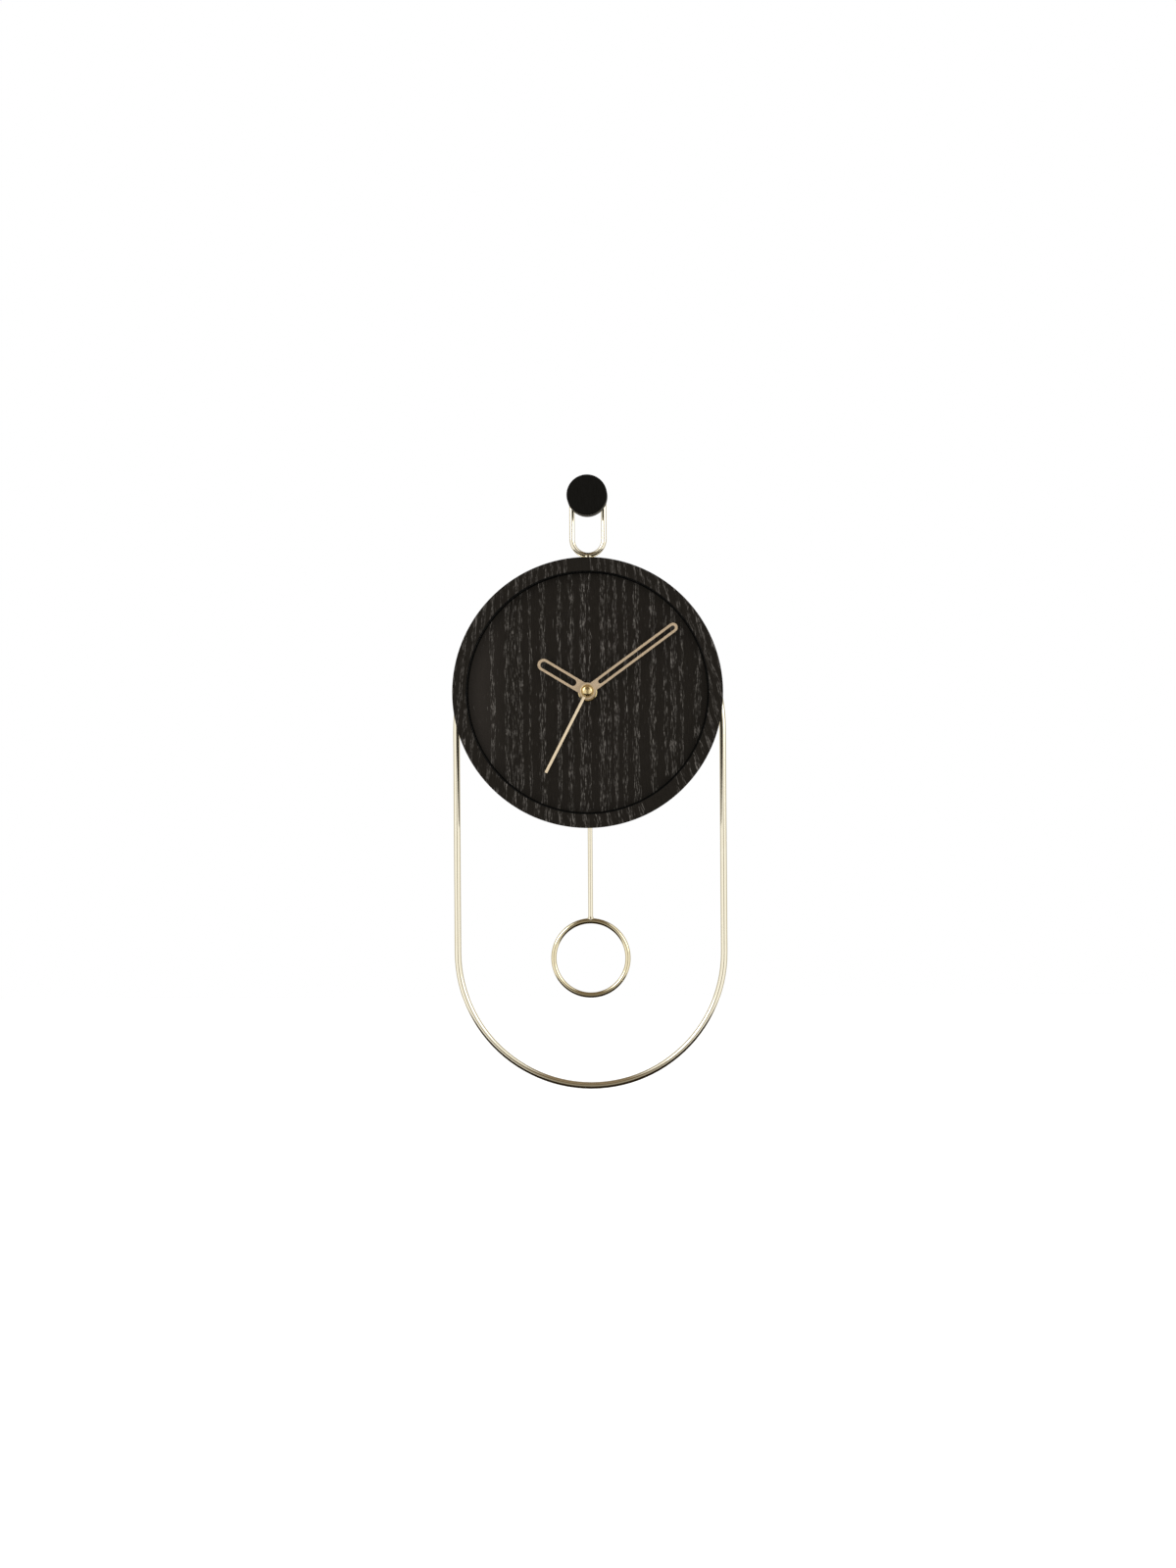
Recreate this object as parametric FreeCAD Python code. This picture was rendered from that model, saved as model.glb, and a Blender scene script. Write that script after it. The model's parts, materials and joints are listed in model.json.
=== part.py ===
import FreeCAD, Part
import math
import os

# Pendulum wall clock: a round wooden case on a bent rod frame, hung by a small rod loop
# from a turned wooden knob, with a quartz movement and a ring pendulum behind the case.
# Millimetres. +Z is up, +Y goes into the wall and -Y towards the room. The origin is
# where the axis of the wall bolt meets the wall.

V = FreeCAD.Vector
X_AXIS = V(1, 0, 0)
Y_AXIS = V(0, 1, 0)
Z_AXIS = V(0, 0, 1)

# ---------------------------------------------------------------- driving dimensions

# Wall fixing
PLUG_R = 4.0
PLUG_LENGTH = 38.0
PLUG_SLIT = 22.0
BOLT_R = 2.5
BOLT_TIP = 34.0
INSERT_DEPTH = 14.0
STEM_R = 6.0
STEM_LENGTH = 20.0
KNOB_R = 15.15
KNOB_THICKNESS = 15.0
KNOB_EDGE = 0.8

# Rod work: hanging loop, frame, pendulum
ROD_Y = -10.5
LOOP_ROD_R = 2.0
LOOP_PATH_R = 12.0
LOOP_TOP_Z = -3.7
LOOP_BOTTOM_Z = -30.9
LOOP_SEAM_Z = -15.4
FRAME_ROD_R = 2.5
FRAME_PATH_R = 100.5
FRAME_SHOULDER_R = 140.5
FRAME_SHOULDER_Z = -175.0
FRAME_CROWN_Z = -47.5
FRAME_BOTTOM_Z = -342.5
FRAME_SEAM_Z = -259.0
SEAM_WIDTH = 0.3
SEAM_DEPTH = 0.25
WELD_R = 3.2

# Case
CASE_Z = -148.0
CASE_R = 100.0
CASE_BACK = -13.0
CASE_DEPTH = 40.0
VENEER = 0.6
RIM_INNER_R = 89.4
BORE_R = 90.9
DIAL_RECESS = 6.0
DIAL_BOARD = 5.0
DIAL_R = 90.7
DIAL_HOLE_R = 4.2
BACK_BOARD = 3.0
SERVICE_HALF_WIDTH = 36.0
SERVICE_TOP = 34.0
SERVICE_BOTTOM = -60.0
SERVICE_CORNER = 6.0
SCREW_CIRCLE_R = 94.0
BOARD_SCREW_ANGLES = (210, 250, 290, 330)
TAB_ANGLE = 80.0
TAB_DROP = 10.0
TAB_HALF_WIDTH = 5.0
TAB_THICKNESS = 1.5
TAB_END_R = 98.4
SCREW_SHANK_R = 1.4
SCREW_HEAD_R = 2.7

# Movement shell, as offsets from its shafts
SHELL_X = 28.0
SHELL_TOP = 28.0
SHELL_BOTTOM = -54.0
SHELL_DEPTH = 17.5
SHELL_WALL = 1.5
SHELL_CORNER = 4.0
GASKET = 0.8
BAY_LEFT = 11.2
BAY_TOP = 2.0
BAY_WALL = 0.8
BATTERY_R = 7.25
BATTERY_X = 18.9
BATTERY_Y = -30.85
BATTERY_TOP = -0.5
BATTERY_LENGTH = 50.1

# Coaxial shafts, which stand a little over the middle of the case, and their running clearance
HUB_RISE = 1.1
SHAFT_GAP = 0.08
SECOND_ARBOR_R = 0.6
MINUTE_TUBE_R = 1.75
HOUR_TUBE_R = 2.55
MINUTE_TAIL_R = 1.25
ARBOR_R = 0.5
ROTOR_ARBOR_R = 0.4
SETTING_ARBOR_R = 1.0
BEARING_GAP = 0.06
BUSHING_R = 4.0
BUSHING_FRONT = -50.2
HOUR_TUBE_FRONT = -51.6
MINUTE_TUBE_FRONT = -53.4
SECOND_ARBOR_FRONT = -54.9
WASHER_R = 7.0
WASHER_DROP = 0.7
WASHER_THICKNESS = 1.3
NUT_ACROSS_FLATS = 10.6

# Hands; the angles are clockwise from twelve
HAND_THICKNESS = 0.5
HAND_RAIL = 1.85
HUB_R = 6.15
HOUR_HAND = dict(length=42.2, width=8.85, slot=(9.9, 40.1), angle=301.2, front=-51.1)
MINUTE_HAND = dict(length=82.0, width=6.9, slot=(10.3, 79.9), angle=53.9, front=-52.9)
SECOND_HAND_LENGTH = 67.6
SECOND_HAND_WIDTH = 2.0
SECOND_HAND_ANGLE = 207.3
SECOND_BOSS_R = 3.95

# Gears: involute flanks; the wheels have short teeth so that small pinions clear them
PRESSURE_ANGLE = math.radians(20)
WHEEL_TOOTH = (0.45, 1.25)
PINION_TOOTH = (1.0, 0.7)
TOOTH_THINNING = 0.12
FINE = 0.25
COARSE = 0.35
ROTOR_TEETH = 10
INTERMEDIATE_TEETH = (60, 12)
SECOND_TEETH = (60, 8)
THIRD_TEETH = (64, 8)
CENTRE_TEETH = 60
CANNON_TEETH = 12
MINUTE_TEETH = (36, 10)
HOUR_TEETH = 40
SETTING_TEETH = 12

# Gear levels along Y, as (front, back)
HOUR_LEVEL = (-38.6, -37.4)
CANNON_LEVEL = (-37.0, -35.6)
PLATE_LEVEL = (-35.2, -34.2)
CENTRE_LEVEL = (-33.6, -32.8)
THIRD_LEVEL = (-32.0, -31.2)
SECOND_LEVEL = (-30.2, -29.4)
INTERMEDIATE_LEVEL = (-28.4, -27.6)
STATOR_LEVEL = (-26.6, -25.8)
MAGNET_LEVEL = (-27.2, -24.6)

# Pendulum
PIVOT_Z = -130.0
PIVOT_PIN_R = 1.5
HANGER_LEVEL = (-21.1, -18.6)
HANGER_END_Z = -171.0
PENDULUM_ROD_R = 1.75
PENDULUM_BEND_R = 5.0
RING_Z = -346.8
RING_ROD_R = 2.0
RING_PATH_R = 28.0

# Levels that follow from the dimensions above
HUB_Z = CASE_Z + HUB_RISE
CASE_FRONT = CASE_BACK - CASE_DEPTH
RING_BACK = CASE_BACK - BACK_BOARD
DIAL_FRONT = CASE_FRONT + DIAL_RECESS
BOARD_FRONT = DIAL_FRONT + VENEER
BOARD_BACK = BOARD_FRONT + DIAL_BOARD
SHELL_FRONT = BOARD_BACK + GASKET
SHELL_INSIDE = SHELL_FRONT + SHELL_WALL
COVER_FRONT = SHELL_FRONT + SHELL_DEPTH
COVER_BACK = COVER_FRONT + SHELL_WALL
SHAFT_WELL = COVER_FRONT + 1.0


# ---------------------------------------------------------------- solids

def disc(radius, front, back, x=0.0, z=HUB_Z):
    """Cylinder along Y between two levels, about the hands unless a place is given."""
    return Part.makeCylinder(radius, back - front, V(x, front, z), Y_AXIS)


def ring(outer, inner, front, back, x=0.0, z=HUB_Z):
    """Round plate with a round hole."""
    return disc(outer, front, back, x, z).cut(disc(inner, front - 1, back + 1, x, z))


def turned(profile, x=0.0, z=HUB_Z):
    """Solid turned about an axis along Y from a closed outline of (radius, y) points."""
    points = [V(x + radius, y, z) for radius, y in profile]
    face = Part.Face(Part.makePolygon(points + points[:1]))
    return face.revolve(V(x, 0, z), Y_AXIS, 360)


def block(x_span, y_span, z_span):
    """Box between the two ends of each span."""
    low = V(x_span[0], y_span[0], z_span[0])
    return Part.makeBox(x_span[1] - low.x, y_span[1] - low.y, z_span[1] - low.z, low)


def rounded_block(x_span, y_span, z_span, corner):
    """Box with its four edges along Y rounded."""
    solid = block(x_span, y_span, z_span)
    along_y = [e for e in solid.Edges if abs(e.tangentAt(e.FirstParameter).y) > 0.99]
    return solid.makeFillet(corner, along_y)


def prism_y(outline, front, back):
    """Flat plate with an outline of (x, z) points."""
    points = [V(x, front, z) for x, z in outline]
    return Part.Face(Part.makePolygon(points + points[:1])).extrude(V(0, back - front, 0))


def prism_x(outline, left, right):
    """Bent strip with an outline of (y, z) points."""
    points = [V(left, y, z) for y, z in outline]
    return Part.Face(Part.makePolygon(points + points[:1])).extrude(V(right - left, 0, 0))


def bar(width, low, high, front, back):
    """Flat upright bar with round ends, at heights over the axis of the hands."""
    radius = width / 2
    body = block((-radius, radius), (front, back), (HUB_Z + low, HUB_Z + high))
    ends = [disc(radius, front, back, 0, HUB_Z + height) for height in (low, high)]
    return body.fuse(ends).removeSplitter()


def bent_rod(rod_r, path_r, centre, axis, degrees):
    """Arc of round rod that starts at +X from its centre and turns about the axis."""
    section = Part.makeCircle(rod_r, centre + V(path_r, 0, 0), Z_AXIS)
    return Part.Face(Part.Wire(section)).revolve(centre, axis, degrees)


def rod_loop(rod_r, path_r, top, top_z, bottom_z, seam_z):
    """Closed loop of round rod: the given arcs on top, straight legs and a half circle below.

    The ends of the rod are butt jointed in the right leg.
    """
    bottom = bent_rod(rod_r, path_r, V(0, ROD_Y, bottom_z), Y_AXIS, 180)
    height = top_z - bottom_z
    legs = [Part.makeCylinder(rod_r, height, V(side * path_r, ROD_Y, bottom_z), Z_AXIS)
            for side in (-1, 1)]
    loop = bottom.fuse(top + legs).removeSplitter()
    seam_base = V(path_r, ROD_Y, seam_z)
    seam = Part.makeCylinder(rod_r + 1, SEAM_WIDTH, seam_base, Z_AXIS)
    core = Part.makeCylinder(rod_r - SEAM_DEPTH, SEAM_WIDTH, seam_base, Z_AXIS)
    return loop.cut(seam.cut(core))


def frame_arch():
    """Egg-shaped top of the frame: two wide shoulder arcs and a tighter crown between them."""
    inset = FRAME_SHOULDER_R - FRAME_PATH_R
    rise = FRAME_CROWN_Z - FRAME_SHOULDER_Z
    spare = FRAME_SHOULDER_R - rise
    crown_height = (inset ** 2 - spare ** 2) / (2 * spare)
    turn = math.degrees(math.atan2(crown_height, inset))
    right = bent_rod(FRAME_ROD_R, FRAME_SHOULDER_R, V(-inset, ROD_Y, FRAME_SHOULDER_Z), -Y_AXIS, turn)
    left = right.mirror(V(0, 0, 0), X_AXIS)
    crown_centre = V(0, ROD_Y, FRAME_SHOULDER_Z + crown_height)
    crown = bent_rod(FRAME_ROD_R, rise - crown_height, crown_centre, -Y_AXIS, 180 - 2 * turn)
    crown.rotate(crown_centre, -Y_AXIS, turn)
    return [right, left, crown]


def polar(radius, degrees):
    """Offset (x, z) of a point at an angle from +X in the plane of the dial."""
    angle = math.radians(degrees)
    return radius * math.cos(angle), radius * math.sin(angle)


# ---------------------------------------------------------------- gears

def gear(teeth, module, tooth, tooth_angle, level, place):
    """Spur gear; tooth is (addendum, dedendum) in modules, tooth_angle aims one tooth."""
    pitch_r = teeth * module / 2
    base_r = pitch_r * math.cos(PRESSURE_ANGLE)
    tip_r = pitch_r + tooth[0] * module
    root_r = pitch_r - tooth[1] * module
    half_tooth = (math.pi / teeth - TOOTH_THINNING * module / pitch_r) / 2

    def involute(radius):
        angle = math.acos(min(1.0, base_r / radius))
        return math.tan(angle) - angle

    def half_angle(radius):
        return half_tooth + involute(pitch_r) - involute(radius)

    radii = sorted({root_r, max(root_r, base_r), pitch_r, tip_r})
    outline = []
    for number in range(teeth):
        middle = tooth_angle + 2 * math.pi * number / teeth
        flank = [(radius, middle - half_angle(radius)) for radius in radii]
        flank += [(radius, middle + half_angle(radius)) for radius in reversed(radii)]
        outline += [(place[0] + radius * math.cos(angle), place[1] + radius * math.sin(angle))
                    for radius, angle in flank]
    return prism_y(outline, *level)


def distance(teeth_a, teeth_b, module):
    """Centre distance of two meshed gears."""
    return (teeth_a + teeth_b) * module / 2


def mate_angle(teeth_a, angle_a, teeth_b, direction):
    """Where gear b aims a tooth to mesh with gear a, when b lies that way from a."""
    phase_a = (direction - angle_a) * teeth_a / (2 * math.pi)
    return direction + math.pi - (0.5 - phase_a) * 2 * math.pi / teeth_b


UP = math.pi / 2
DOWN = -math.pi / 2
LEFT = math.pi

TRAIN_DISTANCE = distance(SECOND_TEETH[0], INTERMEDIATE_TEETH[1], FINE)
MOTION_DISTANCE = distance(MINUTE_TEETH[0], CANNON_TEETH, COARSE)
CENTRE_MODULE = 2 * TRAIN_DISTANCE / (THIRD_TEETH[1] + CENTRE_TEETH)
HOUR_MODULE = 2 * MOTION_DISTANCE / (MINUTE_TEETH[1] + HOUR_TEETH)
CENTRE = (0.0, HUB_Z)
THIRD = (0.0, HUB_Z + TRAIN_DISTANCE)
INTERMEDIATE = (0.0, HUB_Z - TRAIN_DISTANCE)
ROTOR = (-distance(INTERMEDIATE_TEETH[0], ROTOR_TEETH, FINE), INTERMEDIATE[1])
MINUTE = (-MOTION_DISTANCE, HUB_Z)
SETTING = (MINUTE[0] - distance(MINUTE_TEETH[0], SETTING_TEETH, COARSE), HUB_Z)


def save(name, shape):
    """One STEP file for each named piece."""
    shape.exportStep("parts/" + name + ".step")


# ---------------------------------------------------------------- wall fixing

def make_wall_fixing():
    plug = disc(PLUG_R, 0, PLUG_LENGTH, 0, 0).cut(disc(BOLT_R, -1, BOLT_TIP, 0, 0))
    slit = block((-0.4, 0.4), (PLUG_SLIT, PLUG_LENGTH + 1), (-PLUG_R - 1, PLUG_R + 1))
    save("wall_plug", plug.cut(slit))

    bolt = turned([(0, -INSERT_DEPTH + 1), (BOLT_R, -INSERT_DEPTH + 1), (BOLT_R, BOLT_TIP - 7),
                   (0.4, BOLT_TIP), (0, BOLT_TIP)], 0, 0)
    save("hanger_bolt", bolt)

    save("knob_insert", ring(PLUG_R, BOLT_R, -INSERT_DEPTH, -0.5, 0, 0))

    head_back = -STEM_LENGTH
    knob_front = head_back - KNOB_THICKNESS
    knob = turned([(PLUG_R, 0), (STEM_R, 0), (STEM_R, head_back), (KNOB_R - 0.4, head_back),
                   (KNOB_R, head_back - 0.4), (KNOB_R, knob_front + KNOB_EDGE),
                   (KNOB_R - KNOB_EDGE * 0.3, knob_front + KNOB_EDGE * 0.3),
                   (KNOB_R - KNOB_EDGE, knob_front), (0, knob_front),
                   (0, -INSERT_DEPTH), (PLUG_R, -INSERT_DEPTH)], 0, 0)
    save("wall_knob", knob)


# ---------------------------------------------------------------- rod frame

def make_rod_frame():
    loop_top = bent_rod(LOOP_ROD_R, LOOP_PATH_R, V(0, ROD_Y, LOOP_TOP_Z), -Y_AXIS, 180)
    loop = rod_loop(LOOP_ROD_R, LOOP_PATH_R, [loop_top], LOOP_TOP_Z, LOOP_BOTTOM_Z, LOOP_SEAM_Z)
    frame = rod_loop(FRAME_ROD_R, FRAME_PATH_R, frame_arch(), FRAME_SHOULDER_Z, FRAME_BOTTOM_Z,
                     FRAME_SEAM_Z)
    save("hanging_loop", loop)
    save("frame_loop", frame)

    joint_z = (LOOP_BOTTOM_Z - LOOP_PATH_R + FRAME_CROWN_Z) / 2
    bead = Part.makeSphere(WELD_R, V(0, ROD_Y, joint_z))
    save("loop_weld", bead.cut(loop).cut(frame))

    tabs = []
    screws = []
    for side in (-1, 1):
        for tab, place in (upper_tab(side), lower_tab(side)):
            hole = disc(SCREW_SHANK_R + 0.2, CASE_BACK - 1, 0, *place)
            tabs.append(tab.cut(frame).cut(hole))
            screws.append(pan_screw(place))
    save("mounting_tabs", Part.Compound(tabs))
    save("tab_screws", Part.Compound(screws))


def screw_places(side):
    """Upper and lower tab screws of one side, as (x, z)."""
    upper_x, upper_z = polar(SCREW_CIRCLE_R, TAB_ANGLE)
    lower_x = math.sqrt(SCREW_CIRCLE_R ** 2 - TAB_DROP ** 2)
    return (side * upper_x, CASE_Z + upper_z), (side * lower_x, CASE_Z - TAB_DROP)


def upper_tab(side):
    """Short tab that reaches radially out to the crown of the frame."""
    place = screw_places(side)[0]
    reach = TAB_END_R - SCREW_CIRCLE_R
    tab = block((0, reach), (CASE_BACK, CASE_BACK + TAB_THICKNESS),
                (-TAB_HALF_WIDTH, TAB_HALF_WIDTH))
    turn = -TAB_ANGLE if side > 0 else TAB_ANGLE - 180
    tab.rotate(V(0, 0, 0), Y_AXIS, turn)
    tab.translate(V(place[0], 0, place[1]))
    return tab_round(tab, place), place


def lower_tab(side):
    """Longer tab that reaches straight across to the leg of the frame."""
    place = screw_places(side)[1]
    span = sorted((place[0], side * TAB_END_R))
    tab = block(span, (CASE_BACK, CASE_BACK + TAB_THICKNESS),
                (place[1] - TAB_HALF_WIDTH, place[1] + TAB_HALF_WIDTH))
    return tab_round(tab, place), place


def tab_round(tab, place):
    """Adds the round end about the screw."""
    end = disc(TAB_HALF_WIDTH, CASE_BACK, CASE_BACK + TAB_THICKNESS, *place)
    return tab.fuse(end).removeSplitter()


def pan_screw(place):
    """Wood screw with a low round head and a cross recess, driven in along -Y."""
    under = CASE_BACK + TAB_THICKNESS
    screw = turned([(0, RING_BACK - 9), (SCREW_SHANK_R, RING_BACK - 7), (SCREW_SHANK_R, under),
                    (SCREW_HEAD_R, under), (SCREW_HEAD_R, under + 0.9),
                    (SCREW_HEAD_R * 0.7, under + 1.6), (0, under + 1.8)], *place)
    return screw.cut(cross_recess(under + 1.0, under + 3, place))


def cross_recess(front, back, place):
    """Two crossed slots for a screwdriver."""
    x, z = place
    flat = block((x - 1.5, x + 1.5), (front, back), (z - 0.35, z + 0.35))
    upright = block((x - 0.35, x + 0.35), (front, back), (z - 1.5, z + 1.5))
    return flat.fuse(upright)


# ---------------------------------------------------------------- case

def make_case():
    core_r = CASE_R - VENEER
    veneer_back = CASE_FRONT + VENEER
    body = turned([(RIM_INNER_R, veneer_back), (core_r, veneer_back), (core_r, RING_BACK),
                   (BORE_R, RING_BACK), (BORE_R, DIAL_FRONT), (RIM_INNER_R, DIAL_FRONT)],
                  0, CASE_Z)
    board_places = [polar(SCREW_CIRCLE_R, angle) for angle in BOARD_SCREW_ANGLES]
    board_places = [(x, CASE_Z + z) for x, z in board_places]
    tab_places = screw_places(-1) + screw_places(1)
    for place in board_places + list(tab_places):
        body = body.cut(disc(SCREW_SHANK_R + 0.05, RING_BACK - 10, 0, *place))
    save("case_ring", body)

    save("edge_veneer", ring(CASE_R, core_r, veneer_back, CASE_BACK, 0, CASE_Z))

    rim = ring(CASE_R, RIM_INNER_R, CASE_FRONT, veneer_back, 0, CASE_Z)
    front_edge = [e for e in rim.Edges if abs(e.BoundBox.YMax - CASE_FRONT) < 0.01
                  and e.BoundBox.XLength > 2 * CASE_R - 1]
    save("front_veneer", rim.makeFillet(VENEER * 0.8, front_edge))

    shaft_hole = disc(DIAL_HOLE_R, CASE_FRONT, 0)
    save("dial_board", disc(DIAL_R, BOARD_FRONT, BOARD_BACK, 0, CASE_Z).cut(shaft_hole))
    save("dial_veneer", disc(DIAL_R, DIAL_FRONT, BOARD_FRONT, 0, CASE_Z).cut(shaft_hole))

    board = disc(core_r, RING_BACK, CASE_BACK, 0, CASE_Z)
    service = rounded_block((-SERVICE_HALF_WIDTH, SERVICE_HALF_WIDTH),
                            (RING_BACK - 1, CASE_BACK + 1),
                            (CASE_Z + SERVICE_BOTTOM, CASE_Z + SERVICE_TOP), SERVICE_CORNER)
    board = board.cut(service)
    for place in tab_places:
        board = board.cut(disc(SCREW_SHANK_R + 0.05, RING_BACK - 1, 0, *place))
    sink = 1.5
    screws = []
    for place in board_places:
        board = board.cut(disc(SCREW_SHANK_R + 0.05, RING_BACK - 1, 0, *place))
        board = board.cut(flush_head(sink, 0.05, place))
        shank = turned([(0, RING_BACK - 9), (SCREW_SHANK_R, RING_BACK - 7),
                        (SCREW_SHANK_R, CASE_BACK - sink), (0, CASE_BACK - sink)], *place)
        screw = shank.fuse(flush_head(sink, 0, place)).removeSplitter()
        screws.append(screw.cut(cross_recess(CASE_BACK - 0.8, CASE_BACK + 1, place)))
    save("back_board", board)
    save("board_screws", Part.Compound(screws))


def flush_head(sink, gap, place):
    """Cone of a countersunk head, flush with the back of the case."""
    return turned([(0, CASE_BACK - sink), (SCREW_SHANK_R + gap, CASE_BACK - sink),
                   (SCREW_HEAD_R + gap, CASE_BACK), (0, CASE_BACK)], *place)


# ---------------------------------------------------------------- movement shell

def make_shell():
    """Moulded housing with an open battery bay, its cover, bushing, nut and washers."""
    x_span = (-SHELL_X, SHELL_X)
    z_span = (HUB_Z + SHELL_BOTTOM, HUB_Z + SHELL_TOP)
    inside_x = (x_span[0] + SHELL_WALL, x_span[1] - SHELL_WALL)
    inside_z = (z_span[0] + SHELL_WALL, z_span[1] - SHELL_WALL)
    bay_top = HUB_Z + BAY_TOP

    shell = rounded_block(x_span, (SHELL_FRONT, COVER_FRONT), z_span, SHELL_CORNER)
    cavity = rounded_block(inside_x, (SHELL_INSIDE, COVER_FRONT + 1), inside_z,
                           SHELL_CORNER - SHELL_WALL)
    shell = shell.cut(cavity)
    bay_y = (SHELL_INSIDE, COVER_FRONT)
    side_wall = block((BAY_LEFT - BAY_WALL, BAY_LEFT), bay_y, (inside_z[0], bay_top + BAY_WALL))
    top_wall = block((BAY_LEFT, inside_x[1]), bay_y, (bay_top, bay_top + BAY_WALL))
    shell = shell.fuse([side_wall, top_wall])
    battery_front = BATTERY_Y - BATTERY_R
    for height in (-12, -40):
        rib = block((BATTERY_X - 5, BATTERY_X + 5), (SHELL_INSIDE, battery_front - 0.2),
                    (HUB_Z + height, HUB_Z + height + 1))
        shell = shell.fuse(rib)
    minute_post = disc(ARBOR_R, SHELL_INSIDE, PLATE_LEVEL[0], *MINUTE)
    shell = shell.fuse(minute_post)
    shell = shell.cut(disc(BUSHING_R, SHELL_FRONT - 1, SHELL_INSIDE + 1))
    setting_bore_r = SETTING_ARBOR_R + BEARING_GAP
    shell = shell.cut(disc(setting_bore_r, SHELL_INSIDE - 0.8, SHELL_INSIDE + 1, *SETTING))
    save("movement_housing", shell.removeSplitter())

    cover = rounded_block(x_span, (COVER_FRONT, COVER_BACK), z_span, SHELL_CORNER)
    bay = block((BAY_LEFT, inside_x[1]), (COVER_FRONT - 1, COVER_BACK + 1), (inside_z[0], bay_top))
    cover = cover.cut(bay)
    latches = [block(sorted((side * SHELL_X, side * (SHELL_X + 1))),
                     (COVER_FRONT - 5, COVER_BACK), (HUB_Z + height, HUB_Z + height + 6))
               for side in (-1, 1) for height in (14, -34)]
    cover = cover.fuse(latches).removeSplitter()
    for place, radius in ((THIRD, ARBOR_R), (INTERMEDIATE, ARBOR_R), (ROTOR, ROTOR_ARBOR_R),
                          (CENTRE, SECOND_ARBOR_R)):
        cover = cover.cut(disc(radius + BEARING_GAP, COVER_FRONT - 1, SHAFT_WELL, *place))
    cover = cover.cut(disc(setting_bore_r, COVER_FRONT - 1, COVER_BACK + 1, *SETTING))
    cover = cover.cut(disc(PIVOT_PIN_R, COVER_FRONT - 1, COVER_BACK + 1, 0, PIVOT_Z))
    save("movement_cover", cover)

    pin_head = HANGER_LEVEL[1] + 0.3
    pin = turned([(0, COVER_FRONT), (PIVOT_PIN_R, COVER_FRONT), (PIVOT_PIN_R, pin_head),
                  (PIVOT_PIN_R + 1.1, pin_head), (PIVOT_PIN_R + 0.8, pin_head + 0.9),
                  (0, pin_head + 0.9)], 0, PIVOT_Z)
    save("hanger_pin", pin)

    save("threaded_bushing", ring(BUSHING_R, HOUR_TUBE_R + SHAFT_GAP, BUSHING_FRONT, SHELL_INSIDE))
    save("rubber_washer", ring(11.0, BUSHING_R + 0.2, BOARD_BACK, SHELL_FRONT))

    washer_front = DIAL_FRONT - WASHER_THICKNESS
    washer_bore_r = BUSHING_R + WASHER_DROP + 0.05
    save("dial_washer", turned([(washer_bore_r, DIAL_FRONT), (WASHER_R, DIAL_FRONT),
                                (WASHER_R, washer_front + 0.6), (WASHER_R - 0.7, washer_front),
                                (washer_bore_r, washer_front)], 0, HUB_Z - WASHER_DROP))
    corners = [polar(NUT_ACROSS_FLATS / math.sqrt(3), 60 * number) for number in range(6)]
    nut = prism_y([(x, HUB_Z + z) for x, z in corners], BUSHING_FRONT + 0.2, washer_front)
    save("fixing_nut", nut.cut(disc(BUSHING_R, BUSHING_FRONT - 1, DIAL_FRONT)))


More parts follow.
